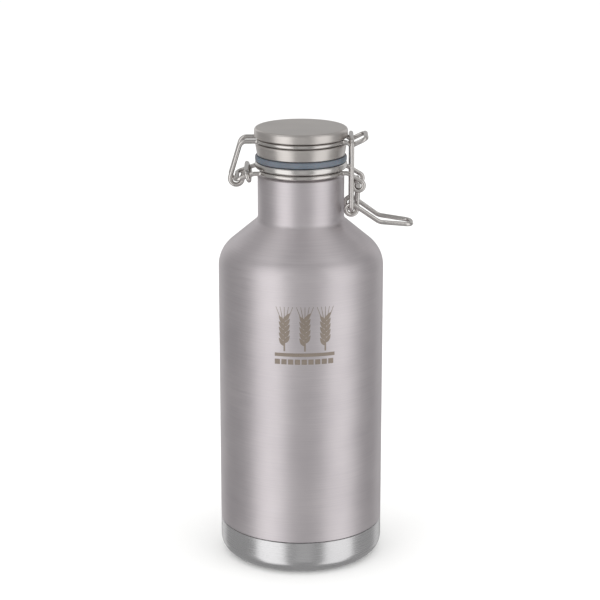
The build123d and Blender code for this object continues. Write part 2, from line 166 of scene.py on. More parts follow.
# %% Steel finishes
steel = {"Metallic": 1.0}
fine = (0.25, 25.0)
body_steel = grained(
    "brushed_stainless_body", "D2CCCE", "C4BEC1", 0.45, (0.35, 25.0), depth=0.004, **steel
)
base_steel = grained(
    "fine_brushed_stainless_base", "CDCCCD", "C6C5C6", 0.26, fine, depth=0.0012, **steel
)
lid_steel = grained("satin_stainless_lid", "CFCAC6", "C2BDB9", 0.34, fine, depth=0.005, **steel)
rim_steel = grained("turned_stainless_rim", "D8D5D2", "C9C6C3", 0.24, fine, depth=0.004, **steel)
flask_steel = grained(
    "electropolished_stainless", "C9C6C4", "B8B5B3", 0.22, (0.5, 25.0), depth=0.004, **steel
)
wire_steel = grained(
    "drawn_stainless_wire", "D2CECB", "C6C2BF", 0.22, (1.2, 12.0), depth=0.002, **steel
)
print("steel finishes", [material.name for material in bpy.data.materials])

# %% [markdown]
# The gasket is moulded silicone: grey-blue, slightly translucent, with a matt skin. The lid's
# core is moulded polypropylene. The getter is a pressed powder pill and the bead is glass
# solder. The mark on the body is a laser etch, which turns steel a warm dark grey and matt.

# %% Finishes of the other pieces
skin = (0.6, 0.6)
powder = (0.3, 0.3)
etch = (0.4, 0.4)
soft = {"IOR": 1.41, "Subsurface Weight": 0.2, "Subsurface Scale": 1.5 * MM}
silicone = grained("moulded_silicone", "676E78", "586069", 0.42, skin, cloud=9.0, **soft)
core_plastic = grained("moulded_polypropylene", "4B4B4D", "3E3E40", 0.5, skin, IOR=1.49)
getter_powder = grained("pressed_getter_powder", "5A5A5C", "434345", 0.8, powder, cloud=4.0)
glass_solder = grained("fired_glass_solder", "54555A", "3F4045", 0.2, skin, cloud=2.0, IOR=1.6)
etched_steel = grained("laser_etched_steel", "90857B", "7E746A", 0.5, etch, Metallic=0.55)
print("finishes in all", len(bpy.data.materials))

# %% [markdown]
# ## Outlines
#
# Both the turned pieces and the bent wires are drawn as a technician would: straight runs with
# a bend radius at each corner. One function rounds the corners of either kind of line.

# %% Rounding the corners of a line


def rounded(corners, step=6.0):
    """Points along straight runs joined by arcs. A corner is (place, bend radius)."""
    places = [Vector(place) for place, _ in corners]
    points = [places[0]]
    for i in range(1, len(corners) - 1):
        place, radius = places[i], corners[i][1]
        back = (places[i - 1] - place).normalized()
        ahead = (places[i + 1] - place).normalized()
        half = back.angle(ahead) / 2
        if radius <= 0 or half > math.pi / 2 - 1e-4:
            points.append(place)
            continue
        reach = radius / math.tan(half)
        center = place + (back + ahead).normalized() * radius / math.sin(half)
        first = place + back * reach - center
        last = place + ahead * reach - center
        turn = first.angle(last)
        steps = max(3, math.ceil(math.degrees(turn) / step))
        axis = first.cross(last).normalized()
        points += [center + Quaternion(axis, turn * k / steps) @ first for k in range(steps + 1)]
    return points + [places[-1]]


def outline(corners, step=6.0, support=0.25):
    """A turned piece's outline from (radius, height, bend). Each run gets a point near both its
    ends, so that smooth shading stays flat between them."""
    dense = rounded([((r, 0, z), bend) for r, z, bend in corners], step)
    points = [dense[0]]
    for start, end in zip(dense, dense[1:]):
        run = end - start
        if run.length > 4 * support:
            near = run.normalized() * support
            points += [start + near, end - near]
        points.append(end)
    return points


def walled(points, wall):
    """A closed outline from an outer line and a wall's thickness towards the inside."""
    inner = []
    for i, point in enumerate(points):
        before = points[max(i - 1, 0)]
        after = points[min(i + 1, len(points) - 1)]
        run = (after - before).normalized()
        side = Vector((-run.z, 0, run.x))
        moved = point + side * wall
        inner.append(Vector((0.0, 0, moved.z)) if point.x < 1e-6 else moved)
    return points + inner[::-1]


square_corner = [((0, 0, 0), 0), ((9, 0, 0), 3.0), ((9, 0, 9), 0)]
print("points on a rounded square corner", len(rounded(square_corner)))

# %% [markdown]
# ## Turned pieces
#
# A turned piece is its outline swept once round the axis. A loop makes the rings of points, and
# a point on the axis stays one point, so that the middle of a disc is closed. The sign of the
# volume says whether the faces point outwards.

# %% Turning an outline round the axis
SEGMENTS = 240


def finish_piece(thing, body, material, nodes=()):
    """Gives a piece its material, its body and the nodes that it stands for."""
    thing.data.materials.clear()
    thing.data.materials.append(material)
    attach(thing, body)
    if nodes:
        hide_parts(*nodes)
    return thing


def turned(name, points, closed=True):
    """A mesh object from an outline in millimetres, turned round the bottle's axis."""
    mesh = bmesh.new()
    rings = []
    for point in points:
        if point.x < 1e-4:
            rings.append([mesh.verts.new((0, 0, point.z * MM))])
            continue
        ring = []
        for k in range(SEGMENTS):
            angle = math.tau * k / SEGMENTS
            place = (point.x * math.cos(angle), point.x * math.sin(angle), point.z)
            ring.append(mesh.verts.new(Vector(place) * MM))
        rings.append(ring)
    pairs = list(zip(rings, rings[1:] + rings[:1] if closed else rings[1:]))
    for one, two in pairs:
        if len(one) == 1 and len(two) == 1:
            continue
        for k in range(SEGMENTS):
            n = (k + 1) % SEGMENTS
            corners = [one[k % len(one)], one[n % len(one)], two[n % len(two)], two[k % len(two)]]
            mesh.faces.new(list(dict.fromkeys(corners)))
    if mesh.calc_volume(signed=True) < 0:
        bmesh.ops.reverse_faces(mesh, faces=mesh.faces)
    data = bpy.data.meshes.new(name)
    mesh.to_mesh(data)
    mesh.free()
    data.polygons.foreach_set("use_smooth", [True] * len(data.polygons))
    data.set_sharp_from_angle(angle=math.radians(35))
    thing = bpy.data.objects.new(name, data)
    bpy.context.collection.objects.link(thing)
    print(name, "faces", len(data.polygons))
    return thing


# %% [markdown]
# ## Bottle
#
# The outer shell is one sheet: a straight body, a shoulder bent round an 18 mm radius into a
# cone, a straight neck, and a rolled groove that holds the neck wire. A cylinder with edited
# loops could give it too, but an outline keeps every bend a number. Its main heights come from the
# frame, and its bends get a fine step, because a wide highlight shows every facet.

# %% Heights and radii of the bottle
body_radius = 47.0
neck_radius = 24.5
mouth_radius = 21.5
sheet = 0.8
seam_z = foot_of("outer_shell")
collar_z = foot_of("neck_collar")
mouth_z = top_of("neck_collar")
neck_length = 33.2
neck_root_z = mouth_z - neck_length
shoulder_round = 18.0
neck_root_round = 4.0
shoulder_rise = math.radians(40.1)
shoulder_z = neck_root_z - (body_radius - neck_radius) * math.tan(shoulder_rise)
print("shoulder from", round(shoulder_z, 1), "to", round(neck_root_z, 1), "mm")

# %% Outer shell
groove_height = 3.0
groove_entry = 1.2
groove_bend = 0.6
groove_depth = 1.1
groove_radius = neck_radius - groove_depth
edge_break = 0.25
edge_round = 0.2
shell_corners = [
    (body_radius - edge_break, seam_z, 0),
    (body_radius, seam_z + edge_break, edge_round),
    (body_radius, shoulder_z, shoulder_round),
    (neck_radius, neck_root_z, neck_root_round),
    (neck_radius, collar_z - groove_height - groove_entry, groove_bend),
    (groove_radius, collar_z - groove_height, groove_bend),
    (groove_radius, collar_z, 0),
]
shell = turned("shell_skin", walled(outline(shell_corners, step=2.5), sheet))
finish_piece(shell, "bottle", body_steel, ["outer_shell"])

# %% [markdown]
# The base cup is a shallow pressing with a rounded foot and a sunken middle, so that the bottle
# stands on a ring and doesn't rock. Its upper edge is broken like the shell's, and the thin
# shadow between the two edges is the seam that the eye sees. Behind the seam stands a lip, the
# step that the shell slides over before welding. It is a piece of its own here, because an
# outline that turns back on itself is easy to get wrong.

# %% Base cup
foot_round = 8.75
foot_width = 3.5
foot_ring = body_radius - foot_round - foot_width
recess = 2.5
recess_round = 1.5
seam_gap = 0.3
band_top = seam_z - seam_gap
cup_corners = [
    (0, recess, 0),
    (foot_ring - recess, recess, recess_round),
    (foot_ring, 0, recess_round),
    (body_radius, 0, foot_round),
    (body_radius, band_top - edge_break, edge_round),
    (body_radius - edge_break, band_top, 0),
]
cup = turned("base_cup_skin", walled(outline(cup_corners, step=3.0), sheet), closed=False)
finish_piece(cup, "bottle", base_steel)

# %% Lip behind the seam
slip_gap = 0.05
lip_outer = body_radius - sheet - slip_gap
lip_below = 2.0
lip_above = 3.5
lip_low = band_top - lip_below
lip_high = band_top + lip_above
lip_round = 0.3
lip_corners = [
    (lip_outer - sheet, lip_low, 0),
    (lip_outer, lip_low, 0),
    (lip_outer, lip_high, lip_round),
    (lip_outer - sheet, lip_high, 0),
]
lip = turned("base_cup_lip", outline(lip_corners))
finish_piece(lip, "bottle", base_steel)
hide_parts("base_cup")

# %% [markdown]
# The inner flask follows the shell at a distance, with the vacuum between them. A Solidify
# modifier on the shell would give a wall, but not a second vessel with its own bends, so the
# flask has an outline of its own: each bend's radius shrinks or grows by the distance.

# %% Inner flask
vacuum_gap = 3.2
flask_wall = 0.7
wall_step = sheet + vacuum_gap
flask_radius = body_radius - wall_step
flask_neck = mouth_radius + flask_wall
cone_step = wall_step / math.cos(shoulder_rise)
flask_root = neck_root_z + (neck_radius - flask_neck) * math.tan(shoulder_rise) - cone_step
flask_shoulder = flask_root - (flask_radius - flask_neck) * math.tan(shoulder_rise)
flask_corners = [
    (flask_radius, foot_of("inner_flask"), 0),
    (flask_radius, flask_shoulder, shoulder_round - wall_step),
    (flask_neck, flask_root, neck_root_round + wall_step),
    (flask_neck, collar_z, 0),
]
flask = turned("inner_flask_skin", walled(outline(flask_corners, step=4.0), flask_wall))
finish_piece(flask, "bottle", flask_steel, ["inner_flask"])

# %% [markdown]
# The mouth collar joins the two vessels and is the rim that one drinks from, so all its edges
# are round. It is a solid ring: its outline starts and ends at a point on its underside, where
# nothing is seen, and the doubled last point is left out.

# %% Mouth collar
collar_radius = reach_of("neck_collar")
collar_round = 1.4
lip_of_mouth = 0.6
collar_corners = [
    (mouth_radius + 1, collar_z, 0),
    (collar_radius, collar_z, collar_round),
    (collar_radius, mouth_z, collar_round),
    (mouth_radius, mouth_z, lip_of_mouth),
    (mouth_radius, collar_z, edge_round),
    (mouth_radius + 1, collar_z, 0),
]
collar = turned("mouth_collar", outline(collar_corners, step=9.0)[:-1])
finish_piece(collar, "bottle", rim_steel, ["neck_collar"])

# %% [markdown]
# ## Lid
#
# Two steel pressings sit above and below the lid's wire, round a moulded core. The top one is a
# flat disc with a turned-down skirt; the lower one flares upwards and rests on the gasket. Both
# are sheet, so they are outlines with a wall, and the gap between them shows the wire's groove.

# %% Heights and radii of the lid
lid_top = top_of("lid_top_cap")
cap_foot = foot_of("lid_top_cap")
cap_radius = reach_of("lid_top_cap")
cup_top = top_of("lid_lower_cup")
cup_foot = foot_of("lid_lower_cup")
cup_inset = 0.2
cup_flare = 1.2
lid_groove_depth = 2.6
plug_play = 1.9
cup_top_radius = collar_radius - cup_inset
cup_low_radius = cup_top_radius - cup_flare
lid_groove = cup_top_radius - lid_groove_depth
plug_radius = mouth_radius - plug_play
rim_bend = 0.95
print("lid from", round(cup_foot, 1), "to", round(lid_top, 1), "mm")

# %% Lid pressings
cap_round = 1.8
cap_corners = [
    (0, lid_top, 0),
    (cap_radius, lid_top, cap_round),
    (cap_radius, cap_foot, rim_bend),
    (lid_groove, cap_foot, 0),
]
cap = turned("lid_cap", walled(outline(cap_corners, step=7.0)[::-1], sheet), closed=False)
finish_piece(cap, "lid", lid_steel, ["lid_top_cap"])
lower_corners = [
    (plug_radius, cup_foot, 0),
    (cup_low_radius, cup_foot, rim_bend),
    (cup_top_radius, cup_top, rim_bend),
    (lid_groove, cup_top, 0),
]
lower = turned("lid_cup", walled(outline(lower_corners, step=7.0), sheet))
finish_piece(lower, "lid", lid_steel, ["lid_lower_cup"])

# %% [markdown]
# Under the lid a steel pan faces the drink, and the silicone gasket sits round it. Both show
# only when the lid is open, but then they are what one looks at, so they get the same care: the
# pan is a sheet with a soft edge, and the gasket is a solid ring with rounded outer edges.

# %% Plug pan and gasket
plug_round = 2.5
pan_foot = foot_of("lid_bottom_pan")
pan_corners = [(0, pan_foot, 0), (plug_radius, pan_foot, plug_round), (plug_radius, cup_foot, 0)]
pan = turned("plug_pan", walled(outline(pan_corners, step=7.0), sheet), closed=False)
finish_piece(pan, "lid", flask_steel, ["lid_bottom_pan"])
gasket_radius = reach_of("lid_gasket")
gasket_low = foot_of("lid_gasket")
gasket_round = 1.0
inner_round = 0.3
gasket_corners = [
    (plug_radius + 2, gasket_low, 0),
    (gasket_radius, gasket_low, gasket_round),
    (gasket_radius, cup_foot, gasket_round),
    (plug_radius, cup_foot, inner_round),
    (plug_radius, gasket_low, inner_round),
    (plug_radius + 2, gasket_low, 0),
]
gasket = turned("gasket", outline(gasket_corners, step=9.0)[:-1])
finish_piece(gasket, "lid", silicone, ["lid_gasket"])

# %% [markdown]
# ## Wirework
#
# A wire is a circle swept along its bent line. A curve object with a bevel would do, but its
# ends stay flat and its size is hidden in a setting. Geometry Nodes do it with Curve to Mesh:
# the line comes in as a mesh of edges, a stored number called girth thins the wire at its cut
# ends, and the tree closes the ends and sets the metal. One tree draws all five wires.

# %% A Geometry Nodes tree that draws a wire
wire_tree = bpy.data.node_groups.new("drawn_wire", "GeometryNodeTree")
wire_face = wire_tree.interface
wire_face.new_socket("Geometry", in_out="INPUT", socket_type="NodeSocketGeometry")
radius_socket = wire_face.new_socket("Radius", in_out="INPUT", socket_type="NodeSocketFloat")
sides_socket = wire_face.new_socket("Sides", in_out="INPUT", socket_type="NodeSocketInt")
metal_socket = wire_face.new_socket("Metal", in_out="INPUT", socket_type="NodeSocketMaterial")
wire_face.new_socket("Geometry", in_out="OUTPUT", socket_type="NodeSocketGeometry")
given = add(wire_tree, "NodeGroupInput").outputs
line = add(wire_tree, "GeometryNodeMeshToCurve", {"Mesh": given["Geometry"]}).outputs["Curve"]
girth = add(wire_tree, "GeometryNodeInputNamedAttribute", {"Name": "girth"}, data_type="FLOAT")
sized = {"Curve": line, "Radius": girth.outputs["Attribute"]}
sized_line = add(wire_tree, "GeometryNodeSetCurveRadius", sized).outputs["Curve"]
circle = {"Resolution": given["Sides"], "Radius": given["Radius"]}
section = add(wire_tree, "GeometryNodeCurvePrimitiveCircle", circle, mode="RADIUS")
swept = {"Curve": sized_line, "Profile Curve": section.outputs["Curve"], "Fill Caps": True}
tube = add(wire_tree, "GeometryNodeCurveToMesh", swept).outputs["Mesh"]
real = add(wire_tree, "GeometryNodeRealizeInstances", {"Geometry": tube}).outputs["Geometry"]
coated = add(wire_tree, "GeometryNodeSetMaterial", {"Geometry": real, "Material": given["Metal"]})
add(wire_tree, "NodeGroupOutput", {"Geometry": coated.outputs["Geometry"]})
print("drawn_wire nodes", len(wire_tree.nodes))

# %% [markdown]
# The modifier's inputs are set by their sockets' identifiers, and the result is turned into a
# plain mesh at once, so that what rides on a body is a mesh like any other. A cut end is
# rounded by three rings, each a little further in and a little wider.

# %% Making one wire with the tree
wire_diameter = 2.5
wire_radius = wire_diameter / 2
wire_sides = 24
end_rings = [(0.0, 0.70), (0.10, 0.88), (0.30, 1.0)]
crease = math.radians(50)


def baked(thing):
    """Turns what the object's modifiers make into its own plain mesh."""
    bpy.context.view_layer.update()
    graph = bpy.context.evaluated_depsgraph_get()
    made = bpy.data.meshes.new_from_object(thing.evaluated_get(graph))
    thing.modifiers.clear()
    thing.data = made
    return thing


def rounded_end(tip, next_point):
    """Places and girths of the rings at a cut end."""
    inwards = (next_point - tip).normalized()
    return [(tip + inwards * wire_radius * along, girth_here) for along, girth_here in end_rings]


def wire(name, points, body, node):
    """A bent wire along points in millimetres, with rounded ends unless it is a closed ring."""
    closed = (points[0] - points[-1]).length < 1e-6
    line = [(point, 1.0) for point in points[1:-1]]
    if closed:
        line = [(points[0], 1.0)] + line
    else:
        stop = rounded_end(points[-1], points[-2])
        line = rounded_end(points[0], points[1]) + line + stop[::-1]
    edges = [(i, i + 1) for i in range(len(line) - 1)]
    if closed:
        edges.append((len(line) - 1, 0))
    data = bpy.data.meshes.new(name)
    data.from_pydata([point * MM for point, _ in line], edges, [])
    data.attributes.new("girth", "FLOAT", "POINT").data.foreach_set("value", [g for _, g in line])
    thing = bpy.data.objects.new(name, data)
    bpy.context.collection.objects.link(thing)
    drawn = thing.modifiers.new("drawn_wire", "NODES")
    drawn.node_group = wire_tree
    drawn[radius_socket.identifier] = wire_radius * MM
    drawn[sides_socket.identifier] = wire_sides
    drawn[metal_socket.identifier] = wire_steel
    mesh = baked(thing).data
    mesh.polygons.foreach_set("use_smooth", [True] * len(mesh.polygons))
    mesh.set_sharp_from_angle(angle=crease)
    print(name, "faces", len(mesh.polygons))
    return finish_piece(thing, body, wire_steel, [node])


# %% [markdown]
# A ring's front half, the level bends that leave it and an upright hook are arcs, so each is a
# short function. The back half of a wire is the front half mirrored, as the bender makes it.

# %% Arcs of the wirework
leg_bend = 3.0
print("legs bend round", leg_bend, "mm")


def level_arc(center, radius, start, end, z, step=3.0):
    """Points on a level arc, from one angle to another in radians."""
    steps = max(4, math.ceil(abs(math.degrees(end - start)) / step))
    angles = [start + (end - start) * k / steps for k in range(steps + 1)]
    x, y = center
    return [Vector((x + radius * math.cos(a), y + radius * math.sin(a), z)) for a in angles]


def upright_arc(center, radius, start, turn, y, step=8.0):
    """Points on an arc about an axis along Y. It goes from one y to another, and the change is
    slow at both ends, so that the arc leaves its straight runs without a kink."""
    steps = math.ceil(abs(turn) / step)
    points = []
    for k in range(steps + 1):
        share = k / steps
        angle = math.radians(start + turn * share)
        eased = share * share * (3 - 2 * share)
        place_y = y[0] + (y[1] - y[0]) * eased
        x = center[0] + radius * math.cos(angle)
        points.append(Vector((x, place_y, center[1] + radius * math.sin(angle))))
    return points


def leg_start(ring_radius, leg_y):
    """Distance from the axis at which a leg leaves its ring, after the bend."""
    return math.sqrt((ring_radius + leg_bend) ** 2 - (leg_y + leg_bend) ** 2)


def ring_with_legs(ring_radius, left_y, right_y, z):
    """The front of a ring with its bends to the left leg and to the right leg."""
    left = (-leg_start(ring_radius, left_y), -(left_y + leg_bend))
    right = (leg_start(ring_radius, right_y), -(right_y + leg_bend))
    left_angle = math.atan2(-left[1], -left[0])
    right_angle = math.atan2(-right[1], -right[0])
    points = level_arc(left, leg_bend, math.pi / 2, left_angle, z, step=8.0)
    points += level_arc((0, 0), ring_radius, left_angle - math.pi, right_angle - math.pi, z)
    return points + level_arc(right, leg_bend, right_angle, math.pi / 2, z, step=8.0)


# %% [markdown]
# A leg meets a hook or an eye where its line just touches the circle. That point follows from
# the circle's place and radius, so it is worked out and not drawn by eye.

# %% Tangents and whole wires


def tangent(point, center, radius, side):
    """Direction in degrees and touching point of the line from a point to a circle."""
    dx, dz = center[0] - point[0], center[1] - point[1]
    distance = math.hypot(dx, dz)
    direction = math.degrees(math.atan2(dz, dx) + side * math.asin(radius / distance))
    reach = math.sqrt(distance**2 - radius**2)
    angle = math.radians(direction)
    return direction, (point[0] + reach * math.cos(angle), point[1] + reach * math.sin(angle))


def joined(*runs):
    """One line from several runs of points, without the doubled points between them."""
    points = []
    for run in runs:
        points += [p for p in run if not points or (p - points[-1]).length > 0.02]
    return points


def whole(front):
    """The whole wire from its front half, which begins on the plane of symmetry."""
    back = [Vector((p.x, -p.y, p.z)) for p in front[1:]]
    return back[::-1] + front


groove_gap = 0.05
neck_ring_radius = groove_radius + groove_gap + wire_radius
lid_ring_radius = lid_groove + groove_gap + wire_radius
neck_ring_z = collar_z - groove_height / 2
lid_ring_z = cap_foot - groove_height / 2
hinge = pivot("lid_hinge")
latch = pivot("lever_pivot")
coil = pivot("bail_pivot")
print("ring radii", round(neck_ring_radius, 2), "and", round(lid_ring_radius, 2), "mm")

# %% [markdown]
# The neck wire lies in the neck's groove. On the left its two legs end in a bar, the hinge that
# the lid turns on; on the right each end is bent round into an eye for the lever's pin.

# %% Neck wire: hinge bar, two legs, ring and two eyes
hinge_leg_y = 11.6
lever_arm_y = 7.3
wire_gap = 0.4
eye_y = lever_arm_y + wire_diameter + wire_gap
eye_play = 0.45
eye_radius = wire_diameter + eye_play
eye_run = 1.8
eye_turn = 270
hinge_leg_x = -leg_start(neck_ring_radius, hinge_leg_y)
eye_leg_x = leg_start(neck_ring_radius, eye_y)
hinge_corners = [
    ((hinge[0], 0, hinge[1]), 0),
    ((hinge[0], -hinge_leg_y, hinge[1]), leg_bend),
    ((hinge_leg_x - leg_bend, -hinge_leg_y, neck_ring_z), leg_bend),
    ((hinge_leg_x, -hinge_leg_y, neck_ring_z), 0),
]
eye_corner = (eye_leg_x + eye_run, neck_ring_z)
eye_direction, eye_point = tangent(eye_corner, latch, eye_radius, 1)
eye_corners = [
    ((eye_leg_x, -eye_y, neck_ring_z), 0),
    ((eye_corner[0], -eye_y, neck_ring_z), leg_bend),
    ((eye_point[0], -eye_y, eye_point[1]), 0),
]
neck_line = joined(
    rounded(hinge_corners),
    ring_with_legs(neck_ring_radius, hinge_leg_y, eye_y, neck_ring_z),
    rounded(eye_corners),
    upright_arc(latch, eye_radius, eye_direction + 90, -eye_turn, (-eye_y, -eye_y)),
)
wire("neck_wire_skin", whole(neck_line), "bottle", "neck_wire")

# %% [markdown]
# The hinge keeper is an oval ring round both hinge legs, which stops them from spreading. It
# stands square to the legs, so its corners follow from the legs' slope. It is a closed
# ring, so its line starts in the middle of a straight run and has no cut ends.

# %% Hinge keeper
keeper_setback = 6.4
keeper_slack = 0.15
corner_ease = 0.05
slope = (neck_ring_z - hinge[1]) / (hinge_leg_x - leg_bend - hinge[0])
up = Vector((-slope, 0, 1)).normalized()
middle = Vector((hinge[0] + keeper_setback, 0, hinge[1] + keeper_setback * slope))
half_height = wire_diameter + keeper_slack
along_y = Vector((0, hinge_leg_y + half_height, 0))
keeper_bend = half_height - corner_ease
keeper_corners = [
    (middle - up * half_height, 0),
    (middle + along_y - up * half_height, keeper_bend),
    (middle + along_y + up * half_height, keeper_bend),
    (middle - along_y + up * half_height, keeper_bend),
    (middle - along_y - up * half_height, keeper_bend),
    (middle - up * half_height, 0),
]
wire("hinge_keeper_skin", rounded(keeper_corners, step=10.0), "bottle", "hinge_keeper")

# %% [markdown]
# The lid wire runs round the lid's groove. On the left its legs drop to hooks round the hinge
# bar. On the right it makes the tongue that the bail holds down: it dips under the bar and
# lifts again at its tip, so that the bar can't slide off.

# %% Lid wire: tongue, ring, two legs and two hooks
hook_y = 7.2
hook_play = 1.0
hook_radius = wire_diameter + hook_play
hook_turn = 215
hook_bend = 4.0
hook_reach = 9.1
hook_leg_x = -leg_start(lid_ring_radius, hook_y)
hook_corner = (-(neck_radius + hook_reach), lid_ring_z)
hook_direction, hook_point = tangent(hook_corner, hinge, hook_radius, -1)
tongue_y = 9.6
tongue_bend = 2.0
tongue_dip = 1.9
tongue_reach = 8.1
tongue_lift = 4.0
tongue_z = lid_ring_z - tongue_dip
tongue_leg_x = leg_start(lid_ring_radius, tongue_y)
tongue_tip = (coil[0] + tongue_reach, tongue_z + tongue_lift)
tongue_corners = [
    ((tongue_tip[0], 0, tongue_tip[1]), 0),
    ((tongue_tip[0], -tongue_y, tongue_tip[1]), leg_bend),
    ((coil[0], -tongue_y, tongue_z), tongue_bend),
    ((tongue_leg_x + tongue_bend / 2, -tongue_y, lid_ring_z), tongue_bend),
    ((tongue_leg_x, -tongue_y, lid_ring_z), 0),
]
hook_corners = [
    ((hook_leg_x, -hook_y, lid_ring_z), 0),
    ((hook_corner[0], -hook_y, lid_ring_z), hook_bend),
    ((hook_point[0], -hook_y, hook_point[1]), 0),
]
lid_line = joined(
    rounded(tongue_corners),
    ring_with_legs(lid_ring_radius, hook_y, tongue_y, lid_ring_z)[::-1],
    rounded(hook_corners),
    upright_arc(hinge, hook_radius, hook_direction - 90, hook_turn, (-hook_y, -hook_y)),
)
wire("lid_wire_skin", whole(lid_line), "lid", "lid_wire")

# %% [markdown]
# The lever's two coils are single turns: the arm comes down, goes once round the bail's end and
# leaves as the handle, one wire's thickness further out. A Screw modifier makes such a turn
# too, but joining it to straight runs is fiddly, and here the turn is one more arc of the line.

# %% Coils and handle of the lever
coil_play = 0.7
coil_radius = wire_diameter + coil_play
coil_gap = 0.1
coil_pitch = wire_diameter + coil_gap
handle_drop = 35.0
handle_run = 17.2
flat_run = 18.3
flat_drop = 6.9
arm_direction, arm_point = tangent(latch, coil, coil_radius, 1)
coil_turn = arm_direction + 360 + handle_drop


def from_point(point, length, drop):
    """The (x, z) at a distance from a point, down a slope in degrees."""
    angle = math.radians(drop)
    return point[0] + length * math.cos(angle), point[1] - length * math.sin(angle)


leave_point = from_point(coil, coil_radius, handle_drop - 90)
handle_knee = from_point(leave_point, handle_run, handle_drop)
handle_tip = from_point(handle_knee, flat_run, flat_drop)
print("handle reaches", round(handle_tip[0] + wire_radius, 1), "mm from the axis")

# %% Lever wire: pins, arms, coils and handle
pin_stub = 0.2
pin_end_y = eye_y + wire_radius + pin_stub
pin_bend = 1.6
outer_y = lever_arm_y + coil_pitch
knee_y = 8.8
knee_bend = 7.0
tip_y = 5.6
tip_bend = 4.0
handle_corners = [
    ((handle_tip[0], 0, handle_tip[1]), 0),
    ((handle_tip[0], -tip_y, handle_tip[1]), tip_bend),
    ((handle_knee[0], -knee_y, handle_knee[1]), knee_bend),
    ((leave_point[0], -outer_y, leave_point[1]), 0),
]
arm_corners = [
    ((arm_point[0], -lever_arm_y, arm_point[1]), 0),
    ((latch[0], -lever_arm_y, latch[1]), pin_bend),
    ((latch[0], -pin_end_y, latch[1]), 0),
]
coil_line = upright_arc(coil, coil_radius, 90 - handle_drop, coil_turn, (-outer_y, -lever_arm_y))
lever_line = joined(rounded(handle_corners), coil_line, rounded(arm_corners))
wire("lever_wire_skin", whole(lever_line), "lever", "lever_wire")

# %% [markdown]
# The bail is the tall loop: its bar crosses over the tongue, its legs come down outside the
# lever's coils, and its ends turn in through them. It is straight runs and four bends.

# %% Bail wire: bar, two legs and two turned-in ends
hang_gap = 0.3
end_stub = 0.5
bail_y = pin_end_y + hang_gap + wire_radius
bail_end_y = lever_arm_y - wire_radius - end_stub
bar_z = top_of("bail_wire") - wire_radius
bail_corners = [
    ((coil[0], 0, bar_z), 0),
    ((coil[0], -bail_y, bar_z), leg_bend),
    ((coil[0], -bail_y, coil[1]), leg_bend),
    ((coil[0], -bail_end_y, coil[1]), 0),
]
wire("bail_wire_skin", whole(rounded(bail_corners)), "bail", "bail_wire")

# %% [markdown]
# ## The mark on the body
#
# The front of the body carries a small laser-etched mark: three plain ears of barley over a
# bar and a row of blocks. A picture could be laid on the body instead, but a drawing of real
# faces stays sharp from near by. Geometry Nodes set one grain again and again along a stem, and
# the flat drawing is then wrapped on the cylinder, a few hundredths of a millimetre thick.

# %% One barley grain, drawn flat
etch_proud = 0.03
mark_x = 2.2
mark_z = 145.0


def flat_piece(name, half_outline):
    """A flat closed piece from its right-hand half outline, as a prism along Y."""
    outline_points = half_outline + [(-x, z) for x, z in half_outline[::-1] if x > 1e-6]
    mesh = bmesh.new()
    front = [mesh.verts.new((x, -etch_proud, z)) for x, z in outline_points]
    back = [mesh.verts.new((x, etch_proud, z)) for x, z in outline_points]
    mesh.faces.new(front)
    mesh.faces.new(back[::-1])
    count = len(front)
    for k in range(count):
        n = (k + 1) % count
        mesh.faces.new((front[n], front[k], back[k], back[n]))
    bmesh.ops.recalc_face_normals(mesh, faces=mesh.faces)
    data = bpy.data.meshes.new(name)
    mesh.to_mesh(data)
    mesh.free()
    return bpy.data.objects.new(name, data)


grain_length = 5.6
grain_width = 2.3
grain_steps = 10
grain_half = []
for k in range(grain_steps + 1):
    share = k / grain_steps
    width = grain_width / 2 * math.sin(math.pi * share**0.8)
    grain_half.append((max(width, 0.0), grain_length * share))
grain = flat_piece("barley_grain", grain_half)
bpy.context.collection.objects.link(grain)
print("grain corners", len(grain.data.vertices))

# %% [markdown]
# The grains stand on points half a spacing apart. Whether a point's number is odd or even
# decides to which side its grain leans, so two grains and the gap between them make a pair.

# %% A Geometry Nodes tree that sets grains along the stem
ear = bpy.data.node_groups.new("barley_ear", "GeometryNodeTree")
for socket_name, kind in (("Pairs", "Int"), ("Spacing", "Float"), ("Lean", "Float")):
    ear.interface.new_socket(socket_name, in_out="INPUT", socket_type="NodeSocket" + kind)
ear.interface.new_socket("Grain", in_out="INPUT", socket_type="NodeSocketObject")
ear.interface.new_socket("Metal", in_out="INPUT", socket_type="NodeSocketMaterial")
ear.interface.new_socket("Geometry", in_out="OUTPUT", socket_type="NodeSocketGeometry")
ear_in = add(ear, "NodeGroupInput").outputs
count = add(ear, "ShaderNodeMath", {0: ear_in["Pairs"], 1: 2.0}, operation="MULTIPLY")
half_step = add(ear, "ShaderNodeMath", {0: ear_in["Spacing"], 1: 0.5}, operation="MULTIPLY")
along = add(ear, "ShaderNodeCombineXYZ", {"Z": half_step.outputs[0]}).outputs["Vector"]
stem_points = {"Count": count.outputs[0], "Offset": along}
stem = add(ear, "GeometryNodeMeshLine", stem_points).outputs["Mesh"]
index = add(ear, "GeometryNodeInputIndex").outputs["Index"]
odd = add(ear, "ShaderNodeMath", {0: index, 1: 2.0}, operation="MODULO").outputs[0]
side = add(ear, "ShaderNodeMapRange", {"Value": odd, "To Min": -1.0}).outputs["Result"]
lean = add(ear, "ShaderNodeMath", {0: side, 1: ear_in["Lean"]}, operation="MULTIPLY").outputs[0]
turn = add(ear, "ShaderNodeCombineXYZ", {"Y": lean}).outputs["Vector"]
shape = add(ear, "GeometryNodeObjectInfo", {"Object": ear_in["Grain"]}).outputs["Geometry"]
placed = {"Points": stem, "Instance": shape, "Rotation": turn}
grains = add(ear, "GeometryNodeInstanceOnPoints", placed).outputs["Instances"]
